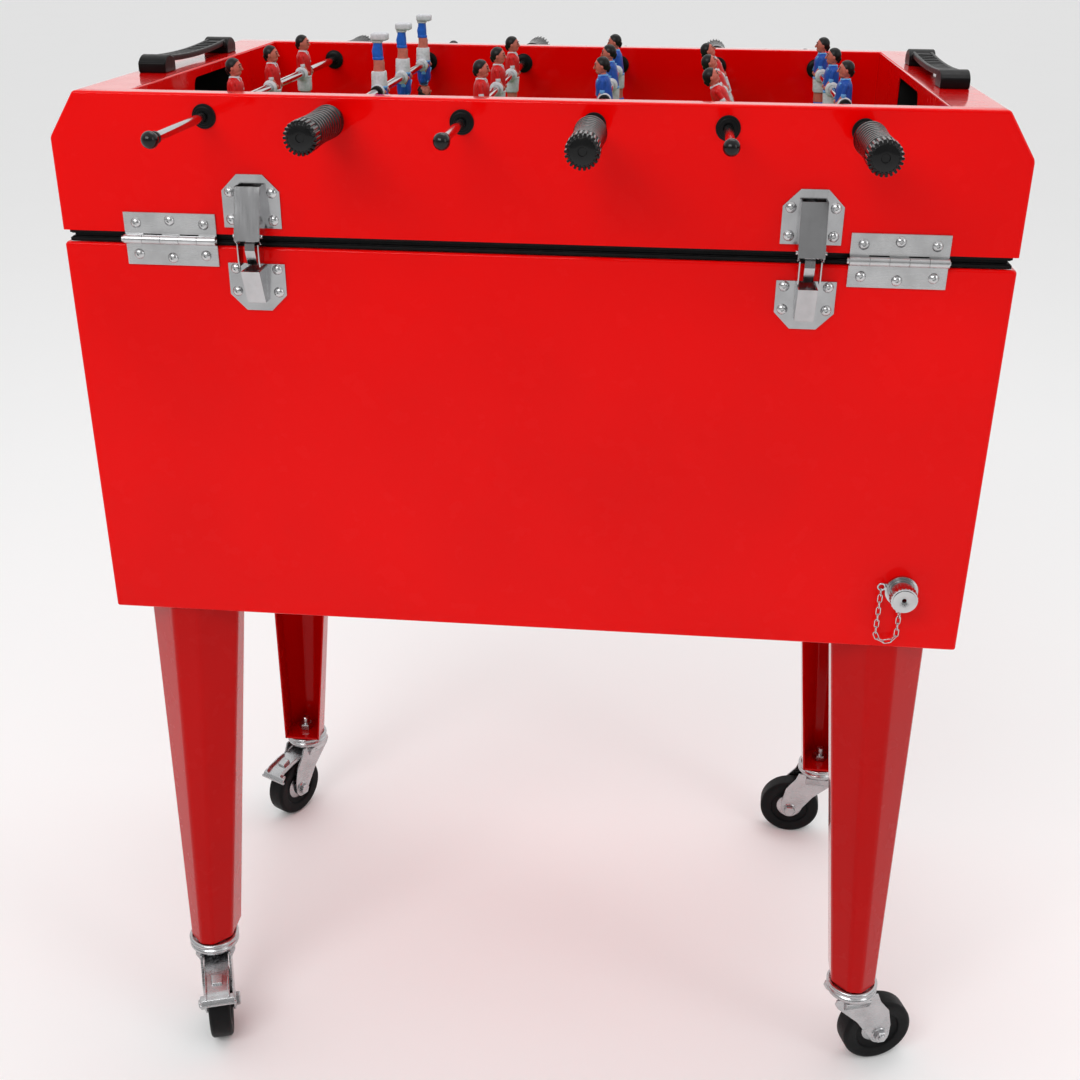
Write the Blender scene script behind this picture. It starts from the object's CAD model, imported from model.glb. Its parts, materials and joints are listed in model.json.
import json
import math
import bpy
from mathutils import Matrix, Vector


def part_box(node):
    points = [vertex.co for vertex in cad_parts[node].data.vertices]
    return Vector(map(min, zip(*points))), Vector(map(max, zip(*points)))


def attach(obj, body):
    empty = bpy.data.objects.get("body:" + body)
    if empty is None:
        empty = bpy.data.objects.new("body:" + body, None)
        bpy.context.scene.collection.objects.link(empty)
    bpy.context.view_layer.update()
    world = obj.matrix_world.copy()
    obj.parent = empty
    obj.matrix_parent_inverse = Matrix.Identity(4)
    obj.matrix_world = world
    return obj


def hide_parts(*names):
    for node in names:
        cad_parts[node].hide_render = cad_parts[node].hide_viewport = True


bl_info = {
    "name": "Cooler with a foosball lid",
    "version": (1, 0, 0),
    "blender": (4, 5, 0),
    "location": "View3D > Sidebar > Foosball",
    "description": "Finishes a rolling patio cooler whose lid is a small foosball table",
    "category": "Add Mesh",
}

import bmesh
import bpy
from bpy.props import FloatProperty, FloatVectorProperty, IntProperty, PointerProperty
from mathutils import Matrix, Vector

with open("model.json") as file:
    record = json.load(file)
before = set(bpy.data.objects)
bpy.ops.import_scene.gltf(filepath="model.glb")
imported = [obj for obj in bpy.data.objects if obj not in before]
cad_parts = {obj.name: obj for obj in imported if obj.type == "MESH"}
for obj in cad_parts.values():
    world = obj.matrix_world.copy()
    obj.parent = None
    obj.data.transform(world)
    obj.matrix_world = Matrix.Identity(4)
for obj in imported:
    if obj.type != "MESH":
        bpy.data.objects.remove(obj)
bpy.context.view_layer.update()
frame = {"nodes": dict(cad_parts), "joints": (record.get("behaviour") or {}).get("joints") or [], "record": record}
MM = 0.001
CASTERS = ("fl", "fr", "bl", "br")
RODS = range(1, 7)


# ------------------------------------------------------------------ sizes read from the frame

def corners(node):
    """Lowest and highest corner of a CAD node."""
    low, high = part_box(node)
    return Vector(low), Vector(high)


def joint(name):
    """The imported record's own entry for a joint."""
    return next(j for j in frame["joints"] if j["name"] == name)


def rod_axis(rod):
    """Middle player's place on a rod, from its spin joint."""
    return Vector(joint(f"rod_{rod}_spin")["pos_m"])


SHELL_LOW, SHELL_HIGH = corners("cooler_shell")
LID_LOW, LID_HIGH = corners("lid_shell")
PITCH_LOW, PITCH_HIGH = corners("playfield")
GASKET_LOW, GASKET_HIGH = corners("lid_gasket")
ROD_Z = rod_axis(1).z
RIM_Z = LID_HIGH.z
PLAY_X = PITCH_HIGH.x + 0.3 * MM
PLAY_Y = PITCH_HIGH.y + 0.3 * MM


# ------------------------------------------------------------------ settings

class FoosPaint(bpy.types.PropertyGroup):
    red: FloatVectorProperty(
        name="Red", description="Colour of the powder coat", subtype="COLOR",
        size=3, min=0, max=1, default=(0.80, 0.0005, 0.0004))
    deep_red: FloatVectorProperty(
        name="Deep red", description="Colour where the coat is thicker", subtype="COLOR",
        size=3, min=0, max=1, default=(0.72, 0.0004, 0.0003))
    orange_peel: FloatProperty(
        name="Orange peel", description="Strength of the coat's fine ripple",
        min=0, max=0.3, default=0.035)
    fold_radius: FloatProperty(
        name="Fold radius", description="Radius of the folded sheet edges", unit="LENGTH",
        min=0.0008, max=0.006, default=0.0024)


class FoosFigures(bpy.types.PropertyGroup):
    red_shirt: FloatVectorProperty(
        name="Red shirt", description="Shirt of the red side", subtype="COLOR",
        size=3, min=0, max=1, default=(0.62, 0.012, 0.012))
    blue_shirt: FloatVectorProperty(
        name="Blue shirt", description="Shirt of the blue side", subtype="COLOR",
        size=3, min=0, max=1, default=(0.016, 0.085, 0.42))
    skin: FloatVectorProperty(
        name="Skin", description="Face, arms and knees", subtype="COLOR",
        size=3, min=0, max=1, default=(0.60, 0.165, 0.120))
    hair: FloatVectorProperty(
        name="Hair", description="Hair", subtype="COLOR",
        size=3, min=0, max=1, default=(0.010, 0.009, 0.009))
    cloth_white: FloatVectorProperty(
        name="White", description="Shorts, collars and boots", subtype="COLOR",
        size=3, min=0, max=1, default=(0.66, 0.67, 0.70))


class FoosHardware(bpy.types.PropertyGroup):
    steel: FloatVectorProperty(
        name="Steel", description="Hinges, screws and drain", subtype="COLOR",
        size=3, min=0, max=1, default=(0.58, 0.58, 0.585))
    polished: FloatVectorProperty(
        name="Polished steel", description="Rods, stays and caster forks", subtype="COLOR",
        size=3, min=0, max=1, default=(0.56, 0.56, 0.57))
    black: FloatVectorProperty(
        name="Black", description="Grips, bushings, handles and wheels", subtype="COLOR",
        size=3, min=0, max=1, default=(0.0035, 0.0035, 0.0038))
    grip_ribs: IntProperty(
        name="Grip ribs", description="Number of ribs along a grip", min=4, max=16, default=9)


class FoosStage(bpy.types.PropertyGroup):
    floor: FloatVectorProperty(
        name="Floor", description="Colour of the floor", subtype="COLOR",
        size=3, min=0, max=1, default=(0.94, 0.94, 0.94))
    key_power: FloatProperty(
        name="Key light", description="Power of the large front light", unit="POWER",
        min=0, max=500, default=24)
    sky: FloatProperty(
        name="Sky", description="Strength of the sky behind and above, where it is brightest",
        min=0, max=3, default=0.92)
    camera_place: FloatVectorProperty(
        name="Camera", description="Place of the camera", subtype="TRANSLATION", unit="LENGTH",
        size=3, default=(0.11353, -1.30637, 1.10032))
    camera_yaw: FloatProperty(
        name="Yaw", description="Turn of the camera to the right of +Y", subtype="ANGLE",
        default=-0.094343)
    camera_pitch: FloatProperty(
        name="Pitch", description="How far the camera looks down", subtype="ANGLE",
        default=0.459127)
    camera_roll: FloatProperty(
        name="Roll", description="Roll of the camera", subtype="ANGLE", default=0.00898)
    camera_lens: FloatProperty(
        name="Lens", description="Focal length on a 36 mm sensor, in mm", min=10, max=200,
        default=45.39)


# ------------------------------------------------------------------ materials

def new_finish(name):
    """An empty principled material and its object coordinates."""
    material = bpy.data.materials.new(name)
    material.use_nodes = True
    tree = material.node_tree
    bsdf = tree.nodes["Principled BSDF"]
    coords = tree.nodes.new("ShaderNodeTexCoord").outputs["Object"]
    return material, tree, bsdf, coords


def stretched(tree, coords, scale, turn=(0, 0, 0)):
    """Coordinates scaled by a different amount along each axis."""
    mapping = tree.nodes.new("ShaderNodeMapping")
    mapping.inputs["Scale"].default_value = scale
    mapping.inputs["Rotation"].default_value = turn
    tree.links.new(coords, mapping.inputs["Vector"])
    return mapping.outputs["Vector"]


def noise(tree, coords, scale, detail=3.0, rough=0.55):
    """Soft noise from 0 to 1; scale is in features per metre."""
    node = tree.nodes.new("ShaderNodeTexNoise")
    node.inputs["Scale"].default_value = scale
    node.inputs["Detail"].default_value = detail
    node.inputs["Roughness"].default_value = rough
    tree.links.new(coords, node.inputs["Vector"])
    return node.outputs["Fac"]


def cells(tree, coords, scale):
    """Distance to the nearest grain, for moulded and cast textures."""
    node = tree.nodes.new("ShaderNodeTexVoronoi")
    node.inputs["Scale"].default_value = scale
    tree.links.new(coords, node.inputs["Vector"])
    return node.outputs["Distance"]


def between(tree, value, low, high, start=0.3, end=0.7):
    """Maps a noise value onto a range."""
    node = tree.nodes.new("ShaderNodeMapRange")
    node.inputs["From Min"].default_value = start
    node.inputs["From Max"].default_value = end
    node.inputs["To Min"].default_value = low
    node.inputs["To Max"].default_value = high
    tree.links.new(value, node.inputs["Value"])
    return node.outputs["Result"]


def math_node(tree, operation, a, b=None):
    node = tree.nodes.new("ShaderNodeMath")
    node.operation = operation
    for socket, value in zip(node.inputs, (a, b)):
        if value is None:
            continue
        if isinstance(value, (int, float)):
            socket.default_value = value
        else:
            tree.links.new(value, socket)
    return node.outputs["Value"]


def tinted(tree, value, first, second):
    """Mixes two colours by a value."""
    node = tree.nodes.new("ShaderNodeMix")
    node.data_type = "RGBA"
    for socket, colour in ((node.inputs[6], first), (node.inputs[7], second)):
        if isinstance(colour, bpy.types.NodeSocket):
            tree.links.new(colour, socket)
        else:
            socket.default_value = (*colour, 1)
    if isinstance(value, (int, float)):
        node.inputs[0].default_value = value
    else:
        tree.links.new(value, node.inputs[0])
    return node.outputs[2]


def rippled(tree, bsdf, height, strength, depth, below=None):
    """Adds a bump to the shader, on top of another one if given."""
    node = tree.nodes.new("ShaderNodeBump")
    node.inputs["Strength"].default_value = strength
    node.inputs["Distance"].default_value = depth
    tree.links.new(height, node.inputs["Height"])
    if below:
        tree.links.new(below, node.inputs["Normal"])
    tree.links.new(node.outputs["Normal"], bsdf.inputs["Normal"])
    return node.outputs["Normal"]


def powder_coat(name, red, deep, peel):
    """Gloss red powder coat: slow colour drift, faint orange peel, clear top."""
    material, tree, bsdf, coords = new_finish(name)
    drift = between(tree, noise(tree, coords, 5.0, 2.0), 0.0, 1.0)
    tree.links.new(tinted(tree, drift, red, deep), bsdf.inputs["Base Color"])
    tree.links.new(between(tree, noise(tree, coords, 38.0, 4.0), 0.20, 0.30),
                   bsdf.inputs["Roughness"])
    bsdf.inputs["Specular IOR Level"].default_value = 0.03
    bsdf.inputs["Coat Weight"].default_value = 1.0
    bsdf.inputs["Coat IOR"].default_value = 1.19
    bsdf.inputs["Coat Roughness"].default_value = 0.045
    slow = rippled(tree, bsdf, noise(tree, coords, 12.0, 1.0), 0.10, 0.0012)
    rippled(tree, bsdf, noise(tree, coords, 520.0, 2.0), peel * 4, 0.0002, slow)
    return material


def metal(name, colour, low, high, grain):
    """Bare or plated steel, with a grain that is drawn out along one direction."""
    material, tree, bsdf, coords = new_finish(name)
    bsdf.inputs["Metallic"].default_value = 1.0
    lines = noise(tree, stretched(tree, coords, grain), 1.0, 4.0, 0.6)
    smudge = noise(tree, coords, 55.0, 3.0)
    dull = tuple(c * 0.80 for c in colour)
    tree.links.new(tinted(tree, between(tree, smudge, 0.0, 1.0, 0.35, 0.75), colour, dull),
                   bsdf.inputs["Base Color"])
    rough = math_node(tree, "ADD", between(tree, lines, low, high),
                      between(tree, smudge, 0.0, 0.05))
    tree.links.new(rough, bsdf.inputs["Roughness"])
    rippled(tree, bsdf, noise(tree, stretched(tree, coords, grain), 1.6, 2.0), 0.10, 0.00006)
    return material


def moulded(name, colour, low, high, grain=1500.0, depth=0.00005, coat=0.0):
    """Moulded plastic or rubber with a fine grain."""
    material, tree, bsdf, coords = new_finish(name)
    light = tuple(min(1.0, c * 1.35 + 0.001) for c in colour)
    tone = between(tree, noise(tree, coords, 90.0, 4.0), 0.0, 1.0, 0.4, 0.8)
    tree.links.new(tinted(tree, tone, colour, light), bsdf.inputs["Base Color"])
    tree.links.new(between(tree, noise(tree, coords, 240.0, 3.0), low, high),
                   bsdf.inputs["Roughness"])
    bsdf.inputs["Specular IOR Level"].default_value = 0.13
    bsdf.inputs["Coat Weight"].default_value = coat
    bsdf.inputs["Coat Roughness"].default_value = 0.12
    rippled(tree, bsdf, cells(tree, coords, grain), 0.35, depth)
    return material


def painted_figure(name, colour, second=None):
    """Hand-sprayed enamel on a moulded figure: soft gloss and uneven cover."""
    material, tree, bsdf, coords = new_finish(name)
    dark = tuple(c * 0.72 for c in colour)
    cover = between(tree, noise(tree, coords, 420.0, 3.0), 0.0, 1.0, 0.35, 0.8)
    tree.links.new(tinted(tree, cover, colour, second or dark), bsdf.inputs["Base Color"])
    tree.links.new(between(tree, noise(tree, coords, 300.0, 2.0), 0.28, 0.46),
                   bsdf.inputs["Roughness"])
    bsdf.inputs["Specular IOR Level"].default_value = 0.22
    rippled(tree, bsdf, noise(tree, coords, 900.0, 3.0), 0.25, 0.00012)
    return material


def pitch_finish(name):
    """Printed pitch: mown stripes under a thin varnish."""
    material, tree, bsdf, coords = new_finish(name)
    split = tree.nodes.new("ShaderNodeSeparateXYZ")
    tree.links.new(coords, split.inputs["Vector"])
    wave = math_node(tree, "SINE", math_node(tree, "MULTIPLY", split.outputs["X"], 62.0))
    stripe = between(tree, wave, 0.0, 1.0, -0.08, 0.08)
    blades = noise(tree, stretched(tree, coords, (900, 260, 900)), 1.0, 4.0)
    bright = tinted(tree, blades, (0.020, 0.150, 0.030), (0.045, 0.230, 0.050))
    deep = tinted(tree, blades, (0.012, 0.105, 0.022), (0.030, 0.165, 0.038))
    tree.links.new(tinted(tree, stripe, bright, deep), bsdf.inputs["Base Color"])
    tree.links.new(between(tree, noise(tree, coords, 60.0), 0.30, 0.42), bsdf.inputs["Roughness"])
    rippled(tree, bsdf, blades, 0.06, 0.0001)
    return material


def foam_finish(name):
    """Rigid insulation foam."""
    material, tree, bsdf, coords = new_finish(name)
    grain = cells(tree, coords, 420.0)
    tree.links.new(tinted(tree, grain, (0.80, 0.74, 0.50), (0.60, 0.52, 0.30)),
                   bsdf.inputs["Base Color"])
    bsdf.inputs["Roughness"].default_value = 0.85
    rippled(tree, bsdf, grain, 0.4, 0.0004)
    return material


def floor_finish(name, colour):
    """Pale studio floor."""
    material, tree, bsdf, coords = new_finish(name)
    pale = tuple(c * 0.985 for c in colour)
    tree.links.new(tinted(tree, noise(tree, coords, 3.0), colour, pale), bsdf.inputs["Base Color"])
    bsdf.inputs["Roughness"].default_value = 0.75
    return material


def finishes():
    """All materials by name, made once."""
    if FINISH:
        return FINISH
    scene = bpy.context.scene
    paint, figures, hardware = scene.foos_paint, scene.foos_figures, scene.foos_hardware
    black = tuple(hardware.black)
    FINISH.update({
        "red_paint": powder_coat("red_powder_coat", tuple(paint.red), tuple(paint.deep_red),
            paint.orange_peel),
        "leg_paint": powder_coat("leg_powder_coat", tuple(c * 0.62 for c in paint.red),
                                 tuple(c * 0.62 for c in paint.deep_red), paint.orange_peel),
        "tub": moulded("tub_plastic", (0.80, 0.80, 0.81), 0.22, 0.34, 260.0, 0.00003),
        "foam": foam_finish("insulation_foam"),
        "rod_chrome": metal("rod_chrome", tuple(hardware.polished), 0.06, 0.13, (1400, 30, 1400)),
        "hinge_steel": metal("hinge_steel", tuple(hardware.steel), 0.20, 0.34, (40, 900, 1500)),
        "screw_steel": metal("screw_steel", tuple(hardware.steel), 0.12, 0.24, (300, 300, 300)),
        "stay_chrome": metal("stay_chrome", tuple(c * 0.92 for c in hardware.polished), 0.09, 0.18,
            (900, 60, 60)),
        "fork_chrome": metal("fork_chrome", tuple(c * 0.95 for c in hardware.polished), 0.16, 0.30,
            (120, 120, 700)),
        "drain_steel": metal("drain_steel", tuple(hardware.steel), 0.12, 0.22, (500, 60, 500)),
        "seal": moulded("seal_rubber", (0.0045, 0.0045, 0.005), 0.45, 0.62, 700.0, 0.00008),
        "satin_black": moulded("satin_black", black, 0.30, 0.42, 1300.0, 0.00007),
        "gloss_black": moulded("gloss_black", black, 0.16, 0.28, 900.0, 0.00003, 0.35),
        "tyre": moulded("tyre_black", (0.0055, 0.0055, 0.006), 0.42, 0.58, 600.0, 0.00010),
        "goal_black": moulded("goal_black", (0.006, 0.006, 0.006), 0.5, 0.65, 800.0, 0.00006),
        "pitch": pitch_finish("pitch_print"),
        "pitch_line": painted_figure("pitch_line_white", (0.80, 0.80, 0.80), (0.70, 0.71, 0.70)),
        "shirt_red": painted_figure("shirt_red", tuple(figures.red_shirt)),
        "shirt_blue": painted_figure("shirt_blue", tuple(figures.blue_shirt)),
        "sash_blue": painted_figure("trim_pale_blue", (0.16, 0.42, 0.80)),
        "skin": painted_figure("figure_skin", tuple(figures.skin)),
        "hair": painted_figure("figure_hair", tuple(figures.hair)),
        "cloth_white": painted_figure("figure_white", tuple(figures.cloth_white)),
        "sock_blue": painted_figure("sock_blue", (0.018, 0.13, 0.60)),
        "sock_red": painted_figure("sock_red", (0.55, 0.02, 0.02)),
    })
    return FINISH


FINISH = {}


# ------------------------------------------------------------------ mesh helpers

def place(name, bm, materials, node, smooth=40.0, weighted=True):
    """Makes an object at the origin from a bmesh. It replaces a CAD node, on its body and slot."""
    mesh = bpy.data.meshes.new(name)
    bm.to_mesh(mesh)
    bm.free()
    for key in materials:
        mesh.materials.append(finishes()[key])
    mesh.polygons.foreach_set("use_smooth", [True] * len(mesh.polygons))
    mesh.set_sharp_from_angle(angle=math.radians(smooth))
    obj = bpy.data.objects.new(name, mesh)
    bpy.context.scene.collection.objects.link(obj)
    if weighted:
        modifier = obj.modifiers.new("even_normals", "WEIGHTED_NORMAL")
        modifier.keep_sharp = True
    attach(obj, body_of(node))
    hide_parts(node)
    return obj


def body_of(node):
    """CAD body that a node belongs to."""
    bodies = frame["record"]["behaviour"]["bodies"]
    return next(body for body, nodes in bodies.items() if node in nodes)


def sharp_edges(bm, degrees):
    """Edges where two faces meet at more than an angle."""
    limit = math.radians(degrees)
    return [e for e in bm.edges if len(e.link_faces) == 2 and e.calc_face_angle(0) > limit]


def rounded(bm, edges, width, segments=2):
    """Rounds edges."""
    if edges:
        bmesh.ops.bevel(bm, geom=edges, offset=width, offset_type="OFFSET", segments=segments,
                        profile=0.5, affect="EDGES", clamp_overlap=True, material=-1)


def eased(node, width, finish, segments=2, angle=32.0, name=None):
    """A copy of a CAD node with its edges eased, which stands for the node."""
    bm = bmesh.new()
    bm.from_mesh(frame["nodes"][node].data)
    bmesh.ops.remove_doubles(bm, verts=bm.verts, dist=0.002 * MM)
    bmesh.ops.dissolve_limit(bm, angle_limit=math.radians(0.8), verts=bm.verts, edges=bm.edges)
    rounded(bm, sharp_edges(bm, angle), width, segments)
    return place(name or f"{node}_finish", bm, [finish], node)


def repaint(node, finish):
    """Gives a CAD node that stays its finish."""
    mesh = frame["nodes"][node].data
    mesh.materials.clear()
    mesh.materials.append(finishes()[finish])


# ------------------------------------------------------------------ shapes, each a part of its own

def facing(centre, axis=(0, 0, 1)):
    """Matrix that puts a part made along +Z on an axis through a point."""
    turn = Vector(axis).to_track_quat("Z", "Y").to_matrix().to_4x4()
    return Matrix.Translation(Vector(centre)) @ turn


def add(bm, part, where=None, material=None):
    """Joins a finished part to a piece, turned the right way out."""
    if where is not None:
        bmesh.ops.transform(part, matrix=where, verts=part.verts)
    bmesh.ops.recalc_face_normals(part, faces=part.faces)
    if material is not None:
        for face in part.faces:
            face.material_index = material
    mesh = bpy.data.meshes.new("part")
    part.to_mesh(mesh)
    part.free()
    bm.from_mesh(mesh)
    bpy.data.meshes.remove(mesh)


def spun(profile, steps=48):
    """Spins a profile of (radius, height) about +Z; it's closed if it ends on the axis."""
    part = bmesh.new()
    verts = [part.verts.new((r, 0, h)) for r, h in profile]
    edges = [part.edges.new(pair) for pair in zip(verts, verts[1:])]
    bmesh.ops.spin(part, geom=verts + edges, cent=(0, 0, 0), axis=(0, 0, 1), angle=math.tau,
                   steps=steps, use_merge=True)
    bmesh.ops.remove_doubles(part, verts=part.verts, dist=0.001 * MM)
    return part


def ring_spun(profile, steps=48):
    """Spins a closed loop of (radius, height) about +Z, for rings and sleeves."""
    return spun(list(profile) + [profile[0]], steps)


def arc(centre, radius, start, end, steps=6):
    """Points of an arc in degrees, for profiles."""
    return [(centre[0] + radius * math.cos(math.radians(start + (end - start) * i / steps)),
             centre[1] + radius * math.sin(math.radians(start + (end - start) * i / steps)))
            for i in range(steps + 1)]


def slab(low, high, ease=0.0, segments=2):
    """A box between two corners with eased edges."""
    part = bmesh.new()
    low, high = Vector(low), Vector(high)
    verts = bmesh.ops.create_cube(part, size=1.0)["verts"]
    bmesh.ops.scale(part, vec=high - low, verts=verts)
    bmesh.ops.translate(part, vec=(low + high) / 2, verts=verts)
    if ease:
        rounded(part, list(part.edges), ease, segments)
    return part


PLANES = {
    "x": Matrix(((0, 0, 1, 0), (1, 0, 0, 0), (0, 1, 0, 0), (0, 0, 0, 1))),
    "y": Matrix(((1, 0, 0, 0), (0, 0, 1, 0), (0, 1, 0, 0), (0, 0, 0, 1))),
    "z": Matrix.Identity(4),
}


def drawn(outline, low, high, along="z", ease=0.0, segments=2, angle=25):
    """An outline drawn out along an axis; along x it is in Y and Z, along y in X and Z."""
    part = bmesh.new()
    face = part.faces.new([part.verts.new((u, v, low)) for u, v in outline])
    made = bmesh.ops.extrude_face_region(part, geom=[face])["geom"]
    bmesh.ops.translate(part, vec=(0, 0, high - low),
                        verts=[v for v in made if isinstance(v, bmesh.types.BMVert)])
    bmesh.ops.transform(part, matrix=PLANES[along], verts=part.verts)
    bmesh.ops.recalc_face_normals(part, faces=part.faces)
    if ease:
        rounded(part, sharp_edges(part, angle), ease, segments)
    return part


def column(sections, steps=20):
    """An upright body lofted through oval sections of (height, half x, half y, shift x)."""
    part = bmesh.new()
    z, hx, hy, shift = sections[0]
    verts = bmesh.ops.create_circle(part, cap_ends=True, radius=1.0, segments=steps)["verts"]
    bmesh.ops.scale(part, vec=(hx, hy, 1), verts=verts)
    bmesh.ops.translate(part, vec=(shift, 0, z), verts=verts)
    face = next(iter(part.faces))
    for last, new in zip(sections, sections[1:]):
        made = bmesh.ops.extrude_face_region(part, geom=[face])["geom"]
        verts = [v for v in made if isinstance(v, bmesh.types.BMVert)]
        bmesh.ops.delete(part, geom=[face], context="FACES_ONLY")
        face = next(f for f in made if isinstance(f, bmesh.types.BMFace))
        bmesh.ops.translate(part, vec=(-last[3], 0, new[0] - last[0]), verts=verts)
        bmesh.ops.scale(part, vec=(new[1] / last[1], new[2] / last[2], 1), verts=verts)
        bmesh.ops.translate(part, vec=(new[3], 0, 0), verts=verts)
    ends = [f for f in part.faces if len(f.verts) == steps]
    if len(ends) < 2:
        low = min(v.co.z for v in part.verts)
        loop = [e for e in part.edges if e.is_boundary and abs(e.verts[0].co.z - low) < 1e-7]
        bmesh.ops.contextual_create(part, geom=loop)
    return part


def limb(start, end, first, last, steps=12):
    """A tapered rod with round ends between two points."""
    start, end = Vector(start), Vector(end)
    length = (end - start).length
    profile = arc((0, 0), first, -90, 0, 4) + arc((0, length), last, 0, 90, 4)
    part = spun([(max(r, 0.0), h) for r, h in profile], steps)
    bmesh.ops.transform(part, matrix=facing(start, end - start), verts=part.verts)
    return part


def ball(centre, size, steps=20):
    """An ellipsoid by its half sizes."""
    part = bmesh.new()
    verts = bmesh.ops.create_uvsphere(part, u_segments=steps, v_segments=steps // 2 + 2,
        radius=1.0)["verts"]
    bmesh.ops.scale(part, vec=size, verts=verts)
    bmesh.ops.translate(part, vec=centre, verts=verts)
    return part


def trimmed(part, point, normal):
    """Cuts a part at a plane, drops the side the normal points to and closes the cut."""
    geom = list(part.verts) + list(part.edges) + list(part.faces)
    cut = bmesh.ops.bisect_plane(part, geom=geom, plane_co=point, plane_no=normal, clear_outer=True)
    edges = [e for e in cut["geom_cut"] if isinstance(e, bmesh.types.BMEdge)]
    bmesh.ops.holes_fill(part, edges=edges)
    return part


def holes_cut(obj, cutter):
    """Cuts a piece with a closed mesh and drops the cutter."""
    mesh = bpy.data.meshes.new("cutter")
    cutter.to_mesh(mesh)
    cutter.free()
    tool = bpy.data.objects.new("cutter", mesh)
    bpy.context.scene.collection.objects.link(tool)
    modifier = obj.modifiers.new("holes", "BOOLEAN")
    modifier.object = tool
    modifier.operation = "DIFFERENCE"
    modifier.solver = "EXACT"
    bpy.context.view_layer.update()
    cut = bpy.data.meshes.new_from_object(obj.evaluated_get(bpy.context.evaluated_depsgraph_get()))
    bpy.data.objects.remove(tool)
    bpy.data.meshes.remove(mesh)
    result = bmesh.new()
    result.from_mesh(cut)
    bpy.data.meshes.remove(cut)
    return result


def loose_object(bm):
    """A working object that is dropped once its shape is read back."""
    mesh = bpy.data.meshes.new("working")
    bm.to_mesh(mesh)
    bm.free()
    obj = bpy.data.objects.new("working", mesh)
    bpy.context.scene.collection.objects.link(obj)
    return obj


def cut_with(bm, cutter):
    """A piece's mesh with holes cut by another mesh."""
    obj = loose_object(bm)
    result = holes_cut(obj, cutter)
    mesh = obj.data
    bpy.data.objects.remove(obj)
    bpy.data.meshes.remove(mesh)
    return result


# ------------------------------------------------------------------ cooler

SHEET = 1.2 * MM
RIM_FLANGE = 6 * MM
RIM_LIFT = 0.25 * MM  # the flange lies on the tub's lip


def cooler_case():
    """Painted box with folded edges, open at the top."""
    radius = bpy.context.scene.foos_paint.fold_radius
    bm = slab(SHELL_LOW, SHELL_HIGH + Vector((0, 0, RIM_LIFT)))
    top = [f for f in bm.faces if f.normal.z > 0.9]
    bmesh.ops.inset_region(bm, faces=top, thickness=RIM_FLANGE)
    bmesh.ops.delete(bm, geom=top, context="FACES_ONLY")
    rounded(bm, [e for e in bm.edges if not e.is_boundary], radius, 4)
    bmesh.ops.recalc_face_normals(bm, faces=bm.faces)
    obj = place("cooler_case", bm, ["red_paint"], "cooler_shell", weighted=False)
    wall = obj.modifiers.new("sheet", "SOLIDIFY")
    wall.thickness = SHEET
    wall.offset = -1
    even = obj.modifiers.new("even_normals", "WEIGHTED_NORMAL")
    even.keep_sharp = True


LEG_TOP_W, LEG_LOW_W = 85 * MM, 45 * MM
LEG_DEPTH = 48 * MM
LEG_SHEET = 2 * MM
LEG_FLAT = {"top": 24 * MM, "low": 13 * MM}
LEG_BEVEL = {"top": 28 * MM, "low": 16 * MM}


def leg_outline(width, flat, bevel):
    """Open section of a leg: out from the outer side, in from the flat facet."""
    return [(-width, LEG_DEPTH), (-width, bevel), (-(width + flat) / 2, 0),
            (-(width - flat) / 2, 0),
            (0, bevel), (0, LEG_DEPTH)]


def leg_sheet(height):
    """One folded, tapered leg with round folds."""
    part = bmesh.new()
    low = leg_outline(LEG_LOW_W, LEG_FLAT["low"], LEG_BEVEL["low"])
    top = leg_outline(LEG_TOP_W, LEG_FLAT["top"], LEG_BEVEL["top"])
    line = [part.verts.new((x, y, 0)) for x, y in low]
    edges = [part.edges.new(pair) for pair in zip(line, line[1:])]
    raised = bmesh.ops.extrude_edge_only(part, edges=edges)["geom"]
    for vert in (v for v in raised if isinstance(v, bmesh.types.BMVert)):
        near = min(range(len(low)), key=lambda k: (Vector(low[k]) - vert.co.xy).length)
        vert.co = (*top[near], height)
    folds = [e for e in part.edges if len(e.link_faces) == 2]
    rounded(part, folds, 3.2 * MM, 4)
    bmesh.ops.recalc_face_normals(part, faces=part.faces)
    if sum((f.calc_center_median() - Vector((-LEG_TOP_W / 2, LEG_DEPTH / 2,
        height / 2))).dot(f.normal)
           for f in part.faces) < 0:
        bmesh.ops.reverse_faces(part, faces=part.faces)
    bmesh.ops.solidify(part, geom=part.faces, thickness=LEG_SHEET)
    return part


def legs():
    """Four folded legs with their end plates."""
    low, high = corners("legs")
    height = high.z - low.z
    bm = bmesh.new()
    plate = 3 * MM
    for sx in (-1, 1):
        for sy in (-1, 1):
            where = Matrix.Translation((sx * high.x, sy * high.y, low.z)) @ Matrix.Diagonal((sx,
                -sy, 1, 1))
            add(bm, leg_sheet(height), where)
            inset = 0.4 * MM
            for width, flat, bevel, z0, z1 in (
                    (LEG_LOW_W, LEG_FLAT["low"], LEG_BEVEL["low"], 0, plate),
                    (LEG_TOP_W, LEG_FLAT["top"], LEG_BEVEL["top"], height - plate, height)):
                outline = [(x * (1 - 2 * inset / width) - inset, max(y, 2 * inset)) for x,
                           y in leg_outline(width, flat, bevel)]
                add(bm, drawn(outline, z0, z1, "z", 0.4 * MM), where)
    place("legs_folded", bm, ["leg_paint"], "legs", smooth=35)


# ------------------------------------------------------------------ lid

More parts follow.
